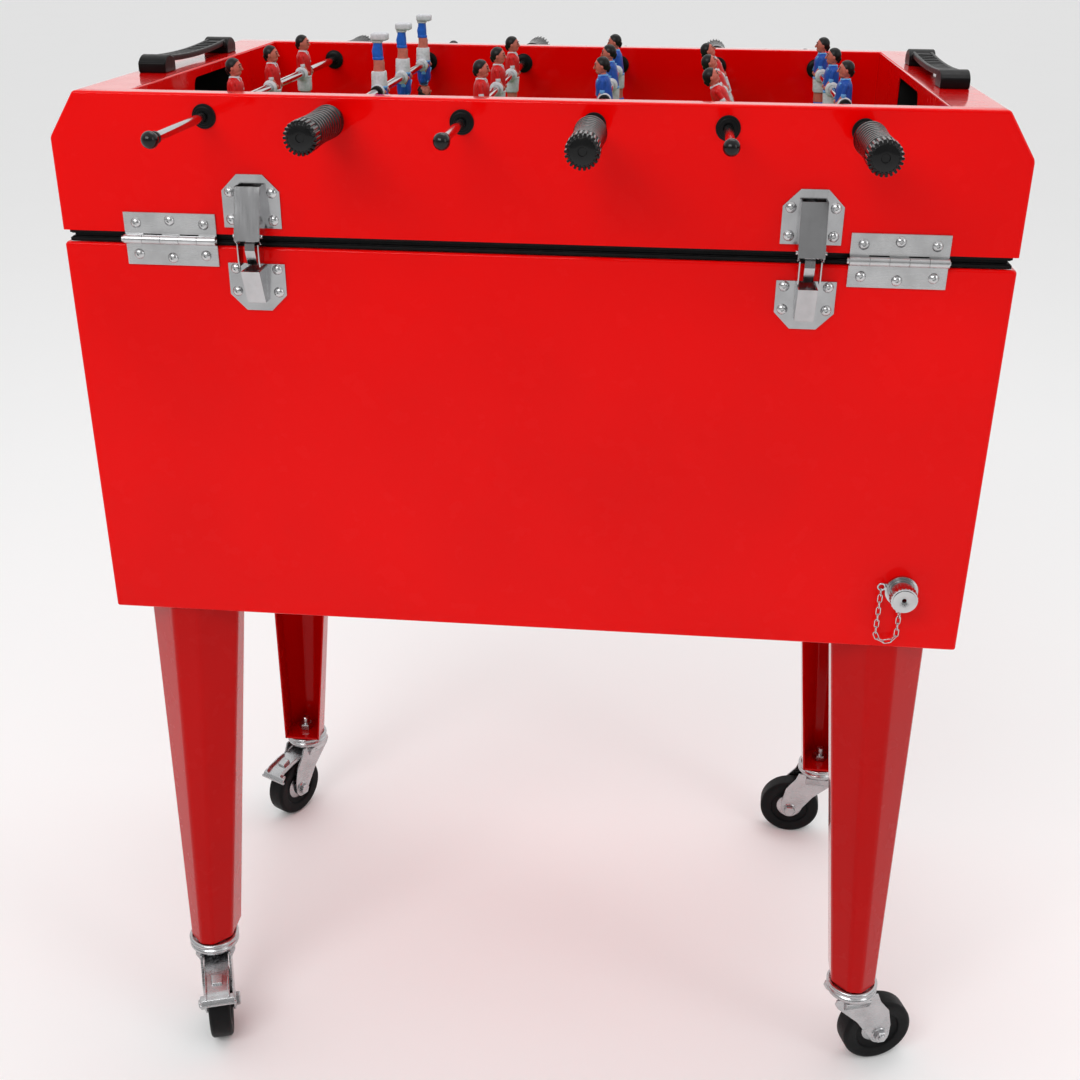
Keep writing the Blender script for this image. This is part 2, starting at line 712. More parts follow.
def lid_case():
    """Painted lid with chamfered ends, decks, play box, goal mouths and bushing holes."""
    low, high = LID_LOW, LID_HIGH
    chamfer_w, chamfer_h = 23 * MM, 35.5 * MM
    bm = drawn([(low.x, low.z), (high.x, low.z), (high.x, high.z - chamfer_h),
                (high.x - chamfer_w, high.z),
                (low.x + chamfer_w, high.z), (low.x, high.z - chamfer_h)], low.y, high.y, "y")
    bmesh.ops.delete(bm, geom=[f for f in bm.faces if f.normal.z < -0.9], context="FACES_ONLY")
    rounded(bm, [e for e in bm.edges if not e.is_boundary],
            bpy.context.scene.foos_paint.fold_radius, 4)
    for point, normal in (((PLAY_X, 0, 0), (1, 0, 0)), ((-PLAY_X, 0, 0), (1, 0, 0)),
                          ((0, PLAY_Y, 0), (0, 1, 0)), ((0, -PLAY_Y, 0), (0, 1, 0))):
        near = [f for f in bm.faces if f.normal.z > 0.99]
        geom = near + list({e for f in near for e in f.edges}) + list({v for f in near
            for v in f.verts})
        bmesh.ops.bisect_plane(bm, geom=geom, plane_co=point, plane_no=normal)
    middle = [f for f in bm.faces if f.normal.z > 0.99 and abs(f.calc_center_median().x) < PLAY_X
              and abs(f.calc_center_median().y) < PLAY_Y]
    rim = list({e for f in middle for e in f.edges if sum(g in middle for g in e.link_faces) == 1})
    sunk = bmesh.ops.extrude_face_region(bm, geom=middle)["geom"]
    bmesh.ops.delete(bm, geom=middle, context="FACES_ONLY")
    bmesh.ops.translate(bm, vec=(0, 0, PITCH_LOW.z - high.z),
                        verts=[v for v in sunk if isinstance(v, bmesh.types.BMVert)])
    bmesh.ops.delete(bm, geom=[f for f in sunk if isinstance(f, bmesh.types.BMFace)],
                     context="FACES_ONLY")
    rim = [e for e in bm.edges if len(e.link_faces) == 2 and abs(e.verts[0].co.z - high.z) < 1e-6
           and abs(e.verts[1].co.z - high.z) < 1e-6 and e.calc_face_angle(0) > 1.2]
    rounded(bm, rim, 1.6 * MM, 3)
    bmesh.ops.remove_doubles(bm, verts=bm.verts, dist=0.001 * MM)
    bmesh.ops.recalc_face_normals(bm, faces=bm.faces)
    if max(bm.faces, key=lambda f: f.calc_center_median().z).normal.z < 0:
        bmesh.ops.reverse_faces(bm, faces=bm.faces)
    bmesh.ops.solidify(bm, geom=bm.faces, thickness=SHEET)
    cutter = bmesh.new()
    for rod in RODS:
        x = rod_axis(rod).x
        add(cutter, spun([(0, -0.3), (6.5 * MM, -0.3), (6.5 * MM, 0.3), (0, 0.3)], 40),
            facing((x, 0, ROD_Z), (0, 1, 0)))
    half, top = 60 * MM, RIM_Z - 8 * MM
    mouth = ([(-half, PITCH_HIGH.z - 0.4 * MM), (half, PITCH_HIGH.z - 0.4 * MM)]
             + arc((half - 10 * MM, top - 10 * MM), 10 * MM, 0, 90, 8)
             + arc((-half + 10 * MM, top - 10 * MM), 10 * MM, 90, 180, 8))
    for s in (-1, 1):
        x0, x1 = sorted((s * (PLAY_X - 4 * MM), s * (PLAY_X + 4 * MM)))
        add(cutter, drawn(mouth, x0, x1, "x"))
    bm = cut_with(bm, cutter)
    place("lid_case", bm, ["red_paint"], "lid_shell", smooth=38)


def gasket():
    """Rubber seal with two lips and a groove between them."""
    low, high = GASKET_LOW, GASKET_HIGH
    height = high.z - low.z
    bm = bmesh.new()
    levels = ((0, 0.30, 4.0), (0.30, 0.38, 5.2), (0.38, 0.62, 7.0), (0.62, 0.70, 5.2),
              (0.70, 1.0, 4.0))
    depth = 18 * MM
    for start, end, back in levels:
        ix, iy = high.x - (back - 4.0) * MM, high.y - (back - 4.0) * MM
        z0, z1 = low.z + start * height, low.z + end * height
        for s in (-1, 1):
            ya, yb = sorted((s * iy, s * (iy - depth)))
            add(bm, slab((-ix, ya, z0), (ix, yb, z1), 0.55 * MM, 2))
            xa, xb = sorted((s * ix, s * (ix - depth)))
            add(bm, slab((xa, -iy + depth, z0), (xb, iy - depth, z1), 0.55 * MM, 2))
    place("seal", bm, ["seal"], "lid_gasket")


def pitch():
    """Printed pitch board with its inlaid lines."""
    x, y, top = PITCH_HIGH.x, PITCH_HIGH.y, PITCH_HIGH.z
    line, inlay = 3 * MM, 0.12 * MM
    bm = bmesh.new()
    add(bm, slab(PITCH_LOW, (x, y, top - inlay), 0.4 * MM), material=0)

    def stripe(x0, y0, x1, y1):
        add(bm, slab((min(x0, x1), min(y0, y1), top - 0.4 * MM), (max(x0, x1), max(y0, y1), top)),
            material=1)

    def circle(cx, cy, radius):
        add(bm, ring_spun([(radius - line, top - 0.4 * MM), (radius, top - 0.4 * MM), (radius, top),
                           (radius - line, top)], 72),
            Matrix.Translation((cx, cy, 0)), 1)

    edge = 12 * MM
    stripe(-line / 2, -y + edge, line / 2, y - edge)
    for s in (-1, 1):
        stripe(-x + edge, s * (y - edge), x - edge, s * (y - edge - line))
        stripe(s * (x - edge), -y + edge, s * (x - edge - line), y - edge)
        for depth, half in ((90 * MM, 90 * MM), (42 * MM, 66 * MM)):
            stripe(s * (x - depth), -half, s * (x - depth - line), half)
            for t in (-1, 1):
                stripe(s * (x - edge), t * half, s * (x - depth - line), t * (half - line))
        add(bm, spun([(0, top - 0.4 * MM), (3 * MM, top - 0.4 * MM), (3 * MM, top), (0, top)], 24),
            Matrix.Translation((s * (x - 66 * MM), 0, 0)), 1)
    circle(0, 0, 45 * MM)
    place("pitch_board", bm, ["pitch", "pitch_line"], "playfield")


def carry_handles():
    """Two black strap handles: domed end blocks and a ribbed strap that sags between them."""
    low, high = corners("carry_handles")
    half, height, wide = high.y, high.z - low.z, 12 * MM
    centre_x = high.x - wide
    bm = bmesh.new()
    block = 27 * MM
    side = ([(half - block, 0), (half - 1.4 * MM, 0), (half, 1.6 * MM), (half - 0.2 * MM, 8.2 * MM)]
            + arc((half - 14 * MM, -4.5 * MM), height + 4.5 * MM, 46, 118, 10))
    side = side + [(half - block, 8.6 * MM)] if side[-1][1] > 8.6 * MM else side
    rail_y = half - block + 4 * MM

    def sag(part):
        """Bends a strap so that its middle hangs a little."""
        bmesh.ops.subdivide_edges(part, edges=[e for e in part.edges
            if abs(e.verts[0].co.y - e.verts[1].co.y) > 8 * MM],
                                  cuts=15, use_grid_fill=True)
        for vert in part.verts:
            vert.co.z += 2.6 * MM * (vert.co.y / rail_y) ** 2 + 0.6 * MM
        return part

    for s in (-1, 1):
        at = Matrix.Translation((s * centre_x, 0, low.z))
        for t in (1, -1):
            turn = at @ Matrix.Diagonal((1, t, 1, 1))
            add(bm, drawn(side, -wide, wide, "x", 1.3 * MM, 3, 50), turn)
            add(bm, drawn([(half - block - 3 * MM, 5.4 * MM), (half - block + 2 * MM, 5.0 * MM),
                           (half - block + 2 * MM, 11.6 * MM), (half - block - 3 * MM, 10.8 * MM)],
                          -wide + 1.6 * MM, wide - 1.6 * MM, "x", 0.7 * MM, 2), turn)
        for x0, x1 in ((-9.5, -6.4), (6.4, 9.5)):
            add(bm, sag(slab((x0 * MM, -rail_y, 4.6 * MM), (x1 * MM, rail_y, 9.4 * MM), 0.9 * MM,
                             2)), at)
        add(bm, sag(slab((-6.6 * MM, -rail_y, 4.6 * MM), (6.6 * MM, rail_y, 6.4 * MM))), at)
        for k in range(-5, 6):
            y = (12 * k) * MM + 6 * MM if k < 5 else 66 * MM
            rise = 2.6 * MM * (y / rail_y) ** 2 + 0.6 * MM
            if abs(y) < rail_y:
                add(bm, slab((-6.8 * MM, y - 2.6 * MM, 5.6 * MM + rise),
                             (6.8 * MM, y + 2.6 * MM, 9.2 * MM + rise), 0.7 * MM, 2), at)
        for t in (1, -1):
            add(bm, spun([(0, 0), (3.6 * MM, 0), (3.6 * MM, 0.5 * MM), (0, 0.5 * MM)], 24),
                at @ Matrix.Translation((0, t * (half - block / 2), height - 1.9 * MM)))
    place("strap_handles", bm, ["satin_black"], "carry_handles", smooth=42)


# ------------------------------------------------------------------ rods

def grip_side(rod):
    """+1 where the grip is at +Y, for odd rods."""
    return 1 if rod % 2 else -1


def rod_frame(rod):
    """Matrix that puts a part made with +Z towards the grip on a rod's axis."""
    axis = rod_axis(rod)
    return Matrix.Translation(axis) @ Matrix.Rotation(-grip_side(rod) * math.pi / 2, 4, "X")


def grip_profile(start, length, radius, ribs):
    """Grip: collar, waisted ribs and a domed end."""
    points = [(0, start), (radius - 1.6 * MM, start), (radius - 0.3 * MM, start + 1.0 * MM),
              (radius, start + 2.4 * MM), (radius, start + 6 * MM),
              (radius - 1.5 * MM, start + 7.6 * MM)]
    body = length - 24 * MM
    for k in range(ribs):
        z = start + 9 * MM + body * k / ribs
        step = body / ribs
        waist = 0.7 * MM * math.sin(math.pi * (k + 0.5) / ribs)
        crest = radius - 0.1 * MM - waist
        points += [(crest - 1.3 * MM, z), (crest - 0.3 * MM, z + step * 0.16),
                   (crest, z + step * 0.3),
                   (crest, z + step * 0.62), (crest - 0.3 * MM, z + step * 0.76),
                   (crest - 1.3 * MM, z + step * 0.92)]
    end = start + length
    core = radius - 1.7 * MM
    points += [(core, end - 14 * MM), (core, end - 2 * MM), (core - 1.4 * MM, end - 0.5 * MM)]
    points += [(3.2 * MM, end - 0.4 * MM), (2.8 * MM, end - 1.4 * MM), (0, end - 1.4 * MM)]
    return points


def rods():
    """Chrome rods with grips, ball caps, rubber bumpers and flanged bushings."""
    ribs = bpy.context.scene.foos_hardware.grip_ribs
    for rod in RODS:
        low, high = corners(f"rod_{rod}_ends")
        side, axis = grip_side(rod), rod_axis(rod)
        reach = (high.y - axis.y) if side > 0 else (axis.y - low.y)
        ball_reach = (axis.y - low.y) if side > 0 else (high.y - axis.y)
        grip_r, ball_r, rod_r = (high.z - low.z) / 2, 6.2 * MM, 3.5 * MM
        grip_l = 88 * MM
        start = reach - grip_l
        ball_z = -(ball_reach - ball_r)
        frame_at = rod_frame(rod)
        bm = bmesh.new()
        add(bm, spun([(0, ball_z + 1 * MM), (rod_r, ball_z + 1 * MM), (rod_r, reach - 8 * MM),
                      (0, reach - 8 * MM)], 40), frame_at)
        place(f"rod_{rod}_shaft", bm, ["rod_chrome"], f"rod_{rod}_bar")
        bm = bmesh.new()
        add(bm, spun(grip_profile(start, grip_l, grip_r, ribs), 48), frame_at)
        for k in range(22):
            turn = Matrix.Rotation(math.tau * k / 22, 4, "Z")
            rib = slab((grip_r - 3.4 * MM, -1.0 * MM, start + grip_l - 13.5 * MM),
                       (grip_r - 0.05 * MM, 1.0 * MM, start + grip_l), 0.5 * MM)
            add(bm, rib, frame_at @ turn)
        neck_end = ball_z + 11 * MM
        profile = arc((0, ball_z), ball_r, -90, 52, 14) + [
            (4.2 * MM, ball_z + 5.6 * MM), (4.1 * MM, neck_end - 2.6 * MM),
            (4.7 * MM, neck_end - 2.2 * MM),
            (4.7 * MM, neck_end - 0.3 * MM), (4.4 * MM, neck_end), (rod_r + 0.05 * MM, neck_end),
            (rod_r + 0.05 * MM, neck_end - 1 * MM), (0, neck_end - 1 * MM)]
        add(bm, spun([(max(r, 0), h) for r, h in profile], 40), frame_at)
        place(f"rod_{rod}_grip_and_cap", bm, ["gloss_black"], f"rod_{rod}_ends", smooth=50)
        b_low, b_high = corners(f"rod_{rod}_bumpers")
        far = (b_high.y - b_low.y) / 2
        r, t, bore = (b_high.z - b_low.z) / 2, 7 * MM, rod_r + 0.05 * MM
        bm = bmesh.new()
        loop = [(bore, -t / 2)] + arc((r - 1.2 * MM, -t / 2 + 1.2 * MM), 1.2 * MM, -90, 0, 4) + [
            (r - 0.5 * MM, -0.8 * MM), (r - 0.5 * MM, 0.8 * MM)] + arc(
                (r - 1.2 * MM, t / 2 - 1.2 * MM), 1.2 * MM, 0, 90, 4) + [(bore, t / 2)]
        for s in (-1, 1):
            add(bm, ring_spun(loop, 36), Matrix.Translation((axis.x, axis.y + s * (far - t / 2),
                ROD_Z)) @ Matrix.Rotation(math.pi / 2, 4, "X"))
        place(f"rod_{rod}_rubbers", bm, ["seal"], f"rod_{rod}_bumpers", smooth=50)


def bushings():
    """Flanged bushings with stepped rings, through both skins of the play box walls."""
    low, high = corners("rod_bushings")
    face, bore, flange = LID_HIGH.y, 3.56 * MM, 9.4 * MM
    proud = high.y - face
    loop = [(bore, PLAY_Y - 3.2 * MM), (6.2 * MM, PLAY_Y - 3.5 * MM),
            (flange - 0.8 * MM, PLAY_Y - 2.6 * MM),
            (flange, PLAY_Y - 1.6 * MM), (flange, PLAY_Y), (6.4 * MM, PLAY_Y), (6.4 * MM, face),
            (flange, face), (flange, face + 1.2 * MM), (flange - 0.7 * MM, face + 1.9 * MM),
            (flange - 1.6 * MM, face + 2.0 * MM), (flange - 1.9 * MM, face + 2.6 * MM),
            (flange - 2.6 * MM, face + 2.9 * MM),
            (flange - 3.6 * MM, face + 2.9 * MM), (flange - 3.9 * MM, face + proud - 0.1 * MM),
            (bore + 0.6 * MM, face + proud), (bore, face + proud - 0.6 * MM)]
    bm = bmesh.new()
    for rod in RODS:
        for s in (-1, 1):
            add(bm, ring_spun(loop, 48), Matrix.Translation((rod_axis(rod).x, 0, ROD_Z))
                @ Matrix.Rotation(-s * math.pi / 2, 4, "X"))
    place("bushings_stepped", bm, ["satin_black"], "rod_bushings", smooth=35)


# ------------------------------------------------------------------ players

TURNS = {2: 180, 4: -6, 5: -28}
PLAYER_PITCH = 112 * MM
SHIRT, TRIM, WHITE, SKIN, HAIR, SOCK = range(6)


def figure(red):
    """A plain player in millimetres, facing +X, standing on the rod's axis, which runs along Y."""
    bm = bmesh.new()
    for s in (-1, 1):
        leg = Matrix.Translation((0, s * 2.25, 0))
        boot = sorted((s * 0.12, s * 6.9))
        add(bm, slab((-5.2, boot[0], -48), (9.2, boot[1], -41.8), 1.7, 3), material=WHITE)
        add(bm, slab((-4.6, s * 2.6 - 2.4, -42.6), (4.0, s * 2.6 + 2.4, -39.6), 1.1, 2),
            material=WHITE)
        add(bm, column([(-40.4, 3.5, 2.3, -0.2), (-37.0, 3.7, 2.35, -0.3), (-33.0, 4.5, 2.7, -0.7),
                        (-29.0, 4.3, 2.6, -0.5), (-27.6, 4.0, 2.4, -0.3)], 16), leg, SOCK)
        add(bm, column([(-28.2, 4.2, 2.55, -0.3), (-27.8, 4.6, 2.8, -0.3), (-26.2, 4.6, 2.8, -0.2),
                        (-25.8, 4.2, 2.5, -0.1)], 16), leg, SOCK)
        add(bm, column([(-26.6, 3.9, 2.35, -0.1), (-23.6, 4.5, 2.6, 0.5), (-21.0, 4.4, 2.6, 0.4),
                        (-15.0, 5.0, 3.0, 0)], 16), leg, SKIN)
        add(bm, column([(-16.4, 5.6, 3.3, 0), (-15.9, 6.1, 3.6, 0), (-12, 6.3, 3.9, 0),
                        (-9, 6.5, 4.1, 0)], 18),
            Matrix.Translation((0, s * 3.3, 0)), WHITE)
        add(bm, ball((0.3, s * 7.8, 15.0), (3.1, 2.5, 3.4), 16), material=SHIRT)
        add(bm, limb((0.3, s * 8.2, 15.0), (1.4, s * 8.4, 7.4), 2.35, 2.15), material=SHIRT)
        add(bm, limb((1.3, s * 8.4, 8.0), (1.5, s * 8.4, 6.9), 2.3, 2.3), material=TRIM)
        add(bm, limb((1.5, s * 8.4, 7.4), (5.2, s * 7.6, 1.6), 1.75, 1.35), material=SKIN)
        add(bm, ball((5.9, s * 7.4, 0.6), (1.8, 1.3, 1.8), 12), material=SKIN)
        add(bm, ball((0.3, s * 5.2, 26.6), (1.3, 0.8, 1.9), 10), material=SKIN)
        add(bm, ball((6.15, s * 2.1, 28.0), (0.5, 0.85, 0.6), 10), material=HAIR)
        add(bm, limb((5.7, s * 3.4, 29.5), (6.3, s * 1.3, 29.9), 0.35, 0.38, 8), material=HAIR)
    add(bm, column([(-12.5, 6.3, 7.0, 0), (-9, 6.8, 7.6, 0), (-5, 7.1, 8.1, 0),
                    (-2.4, 6.7, 7.9, 0)], 24), material=WHITE)
    sleeve = [(3.58, -10.5), (5.6, -10.5), (6.2, -9.9), (6.2, -8.6), (5.8, -8.2), (5.8, 8.2),
              (6.2, 8.6), (6.2, 9.9), (5.6, 10.5), (3.58, 10.5)]
    add(bm, ring_spun(sleeve, 28), Matrix.Rotation(math.pi / 2, 4, "X"), WHITE)
    add(bm, column([(-4.2, 6.9, 8.1, 0), (-3.8, 7.3, 8.6, 0), (-2.6, 7.3, 8.6, 0),
                    (-2.2, 6.9, 8.2, 0)], 24), material=TRIM)
    add(bm, column([(-3.0, 6.8, 8.2, 0), (1, 6.9, 8.4, 0), (7, 6.8, 8.9, 0.3), (12, 6.9, 9.2, 0.5),
                    (15.5, 6.3, 8.9, 0.4), (18.2, 4.8, 7.2, 0.1), (19.8, 3.5, 4.4, 0)], 24),
        material=SHIRT)
    collar = ring_spun([(2.6, 18.9), (4.2, 18.6), (4.6, 19.4), (4.0, 20.4), (3.0, 20.6)], 20)
    add(bm, collar, Matrix.Translation((0.1, 0, 0)), TRIM)
    if red:
        for s in (-1, 1):
            add(bm, limb((4.3, s * 3.1, 18.6), (6.9, 0, 10.6), 0.7, 0.8, 8), material=TRIM)
    else:
        add(bm, limb((4.6, 5.6, 16.6), (6.9, -3.6, 4.0), 1.0, 1.1, 8), material=TRIM)
    add(bm, column([(18.4, 2.9, 3.1, 0), (22.6, 2.8, 2.9, 0.2)], 16), material=SKIN)
    add(bm, ball((0.8, 0, 27.3), (5.8, 5.2, 6.7), 24), material=SKIN)
    add(bm, ball((2.1, 0, 23.4), (4.0, 3.7, 3.1), 18), material=SKIN)
    add(bm, limb((6.3, 0, 28.0), (7.2, 0, 26.0), 0.55, 0.95, 8), material=SKIN)
    add(bm, limb((5.8, -1.4, 23.6), (5.8, 1.4, 23.6), 0.42, 0.42, 8), material=SKIN)
    hair = trimmed(ball((-0.1, 0, 28.5), (6.5, 5.8, 6.4), 24), (3.3, 0, 31.0), (0.8, 0, -0.6))
    add(bm, hair, material=HAIR)
    add(bm, limb((-5.2, 0, 25.4), (-4.4, 0, 22.6), 1.9, 1.3, 10), material=HAIR)
    return bm


RED_TEAM = ("shirt_red", "cloth_white", "sock_red")
BLUE_TEAM = ("shirt_blue", "sash_blue", "sock_blue")


def players():
    """Three players pinned on each rod; odd rods are red and face +X."""
    for rod in RODS:
        red = rod % 2 == 1
        side = 1 if red else -1
        bm = bmesh.new()
        for k in (-1, 0, 1):
            where = (Matrix.Translation(rod_axis(rod) + Vector((0, k * PLAYER_PITCH, 0)))
                     @ Matrix.Rotation(math.radians(TURNS.get(rod, 0)), 4, "Y")
                     @ Matrix.Rotation(0 if side > 0 else math.pi, 4, "Z") @ Matrix.Scale(MM, 4))
            part = figure(red)
            bmesh.ops.transform(part, matrix=where, verts=part.verts)
            mesh = bpy.data.meshes.new("part")
            part.to_mesh(mesh)
            part.free()
            bm.from_mesh(mesh)
            bpy.data.meshes.remove(mesh)
        shirt, trim, sock = RED_TEAM if red else BLUE_TEAM
        place(f"rod_{rod}_figures", bm, [shirt, trim, "cloth_white", "skin", "hair", sock],
              f"rod_{rod}_players", smooth=48, weighted=False)


# ------------------------------------------------------------------ casters

WHEEL_R, WHEEL_W = 37.5, 23.0
CROWN_Z, CASTER_H, TRAIL = 91.7, 108.0, 32.0
FORK_IN = WHEEL_W / 2 + 2


def caster_frame(name):
    """Matrix for a caster in millimetres: X along its trail, the swivel axis at the origin."""
    swivel, spin = (Vector(joint(f"caster_{turn}_{name}")["pos_m"]) for turn in ("swivel", "spin"))
    along = spin - swivel
    turn = math.atan2(along.y, along.x)
    return (Matrix.Translation((swivel.x, swivel.y, 0)) @ Matrix.Rotation(turn, 4, "Z")
            @ Matrix.Scale(MM, 4))


def caster_races():
    """Fixed races with a rolled rim, stem, nut and kingpin."""
    z = CASTER_H - 7
    race = ([(0, z), (22.6, z)] + arc((23.2, z + 2.8), 2.8, -90, 100, 9)
            + [(21.4, z + 5.3), (19.6, z + 5.8), (18.6, z + 7), (0, z + 7)])
    bm = bmesh.new()
    for name in CASTERS:
        at = caster_frame(name)
        add(bm, spun(race, 64), at)
        add(bm, spun([(0, CASTER_H), (5, CASTER_H), (5, CASTER_H + 19), (4.2, CASTER_H + 20),
                      (0, CASTER_H + 20)], 24), at)
        add(bm, spun([(0, CASTER_H + 3), (8.2, CASTER_H + 3), (9, CASTER_H + 4), (9, CASTER_H + 10),
                      (8.2, CASTER_H + 11), (0, CASTER_H + 11)], 6), at)
        add(bm, spun([(0, CROWN_Z - 3), (8.2, CROWN_Z - 3), (9, CROWN_Z - 2.2), (9, CROWN_Z - 0.3),
                      (6, CROWN_Z - 0.3), (6, z), (0, z)], 40), at)
    place("caster_races", bm, ["fork_chrome"], "caster_tops", smooth=35)


def fork_plate():
    """Side of a fork: broad at the crown, narrowing to the round axle boss."""
    return ([(-22, CROWN_Z + 2.4), (-23.4, CROWN_Z - 3), (-20, CROWN_Z - 9), (4, CROWN_Z - 32)]
            + arc((TRAIL, WHEEL_R), 11, 208, 352, 14)
            + [(TRAIL + 11, WHEEL_R + 12), (TRAIL + 7, CROWN_Z - 22), (28, CROWN_Z - 8),
               (24, CROWN_Z + 2.4)])


def caster_fork(name):
    """Stamped fork with its rolled crown, raised bosses, axle bolt and nut."""
    bm = bmesh.new()
    at = caster_frame(name)
    crown = ([(6.06, CROWN_Z), (20, CROWN_Z), (22.6, CROWN_Z + 0.4)]
             + arc((22.4, CROWN_Z + 5.2), 3.4, -50, 62, 9)
             + [(23.4, CROWN_Z + 9), (22.2, CROWN_Z + 9), (21.4, CROWN_Z + 6.4),
                (19.4, CROWN_Z + 3.2), (6.06, CROWN_Z + 3.0)])
    add(bm, ring_spun(crown, 64), at)
    wide = FORK_IN + 2.4
    axle = Matrix.Translation((TRAIL, 0, WHEEL_R)) @ Matrix.Rotation(-math.pi / 2, 4, "X")
    for s in (-1, 1):
        y0, y1 = sorted((s * FORK_IN, s * wide))
        add(bm, drawn(fork_plate(), y0, y1, "y", 0.7, 2, 30), at)
        shoulder = [(s * (FORK_IN - 2), CROWN_Z + 0.1), (s * (FORK_IN + 6.5), CROWN_Z + 0.1),
                    (s * (FORK_IN + 7.5), CROWN_Z - 1.4), (s * (wide + 1.2), CROWN_Z - 10),
                    (s * (wide - 0.3), CROWN_Z - 13), (s * FORK_IN, CROWN_Z - 13)]
        add(bm, drawn(shoulder, -13, 15, "x", 0.9, 2, 30), at)
        boss = [(0, s * (wide - 0.4)), (9.4, s * (wide - 0.4)), (8.2, s * (wide + 0.9)),
                (0, s * (wide + 0.9))]
        add(bm, spun(boss, 36), at @ axle)
        hexa = [(0, s * (wide + 0.6)), (6.6, s * (wide + 0.6)), (7.2, s * (wide + 1.4)),
                (7.2, s * (wide + 4.4)), (6.4, s * (wide + 5.2)), (0, s * (wide + 5.2))]
        add(bm, spun(hexa, 6), at @ axle)
    add(bm, spun([(0, -wide - 7), (3.4, -wide - 7), (4, -wide - 6.4), (4, wide), (0, wide)], 24),
        at @ axle)
    place(f"caster_fork_{name}_stamped", bm, ["fork_chrome"], f"caster_fork_{name}", smooth=35)


def caster_wheel(name):
    """Wheel with a crowned tread, recessed sides and a hub."""
    w, r, hub = WHEEL_W / 2, WHEEL_R, FORK_IN - 0.4
    half = ([(4.06, hub), (8.6, hub), (9.4, hub - 0.6), (10.4, w - 3.2), (12.6, w - 4.2),
             (21.5, w - 4.2), (23, w - 3.4),
             (24.2, w - 1.2), (26.2, w - 0.5),
             (r - 5.2, w)] + arc((r - 4.4, w - 4.4), 4.4, 84, 14, 7) + [(r, w - 7.4)])
    loop = half + [(x, -y) for x, y in reversed(half)]
    bm = bmesh.new()
    at = caster_frame(name) @ Matrix.Translation((TRAIL, 0,
        WHEEL_R)) @ Matrix.Rotation(-math.pi / 2, 4, "X")
    add(bm, ring_spun(loop, 72), at, 0)
    for s in (-1, 1):
        cover = [(4.3, s * (hub - 1.2)), (15.5, s * (w - 3.6)), (16.3, s * (w - 4.1)),
                 (15.6, s * (w - 4.5)), (4.3, s * (w - 4.6))]
        add(bm, ring_spun(cover, 48), at, 1)
    place(f"caster_wheel_{name}_tyre", bm, ["tyre", "fork_chrome"], f"caster_wheel_{name}",
          smooth=32)


def over_wheel(angle, clear):
    """Point at a clearance from the tyre, in the caster's own X and Z."""
    a, r = math.radians(angle), WHEEL_R + clear
    return (TRAIL + r * math.cos(a), WHEEL_R + r * math.sin(a))


def caster_pedal(name):
    """Bent brake pedal: plate with a raised square, side flanges and a rolled lip, on its pin."""
    bm = bmesh.new()
    at = caster_frame(name)
    path = [(4, CROWN_Z - 5)] + [over_wheel(a, c) for a,
        c in ((90, 4.8), (78, 5.0), (66, 5.7), (54, 8.4), (45, 9.8), (37, 8.8))]
    thick = 1.8
    back = [(x + thick * 0.5, z + thick * 0.85) for x, z in reversed(path)]
    half = FORK_IN - 1
    add(bm, drawn(path + back, -half, half, "y", 0.6, 2, 35), at)
    for s in (-1, 1):
        y0, y1 = sorted((s * half, s * (half - 1.6)))
        rail = path[1:6] + [(x + 3.2, z + 4.6) for x, z in reversed(path[1:6])]
        add(bm, drawn(rail, y0, y1, "y", 0.5, 2, 35), at)
    mid = Vector((over_wheel(70, 0)[0], 0, over_wheel(70, 0)[1]))
    lean = Matrix.Rotation(math.radians(90 - 72), 4, "Y")
    add(bm, slab((-6.0, -5.6, 5.8), (6.0, 5.6, 10.4), 1.3, 3), at @ Matrix.Translation(mid) @ lean)
    tip = over_wheel(38, 9.6)
    lip = [over_wheel(50, 10.6), over_wheel(44, 12.2), over_wheel(38, 11.6), over_wheel(35.5, 9.2),
           over_wheel(40, 8.6), over_wheel(48, 8.9)]
    add(bm, drawn(lip, -half - 4.5, half + 4.5, "y", 0.8, 3, 25), at)
    add(bm, limb((tip[0], -half - 5, tip[1]), (tip[0], half + 5, tip[1]), 1.9, 1.9, 14), at)
    add(bm, limb((4, -half - 4.6, CROWN_Z - 6), (4, half + 4.6, CROWN_Z - 6), 2.95, 2.95, 20), at)
    place(f"caster_pedal_{name}_stamped", bm, ["fork_chrome"], f"caster_pedal_{name}", smooth=38)


# ------------------------------------------------------------------ stage

SKY_FACING = (0, 0.6, 0.8)
SKY_DARK = 0.30
FLOOR_RADIUS = 30.0
CAMERA_SHIFT = (0.0014, 0.0343)


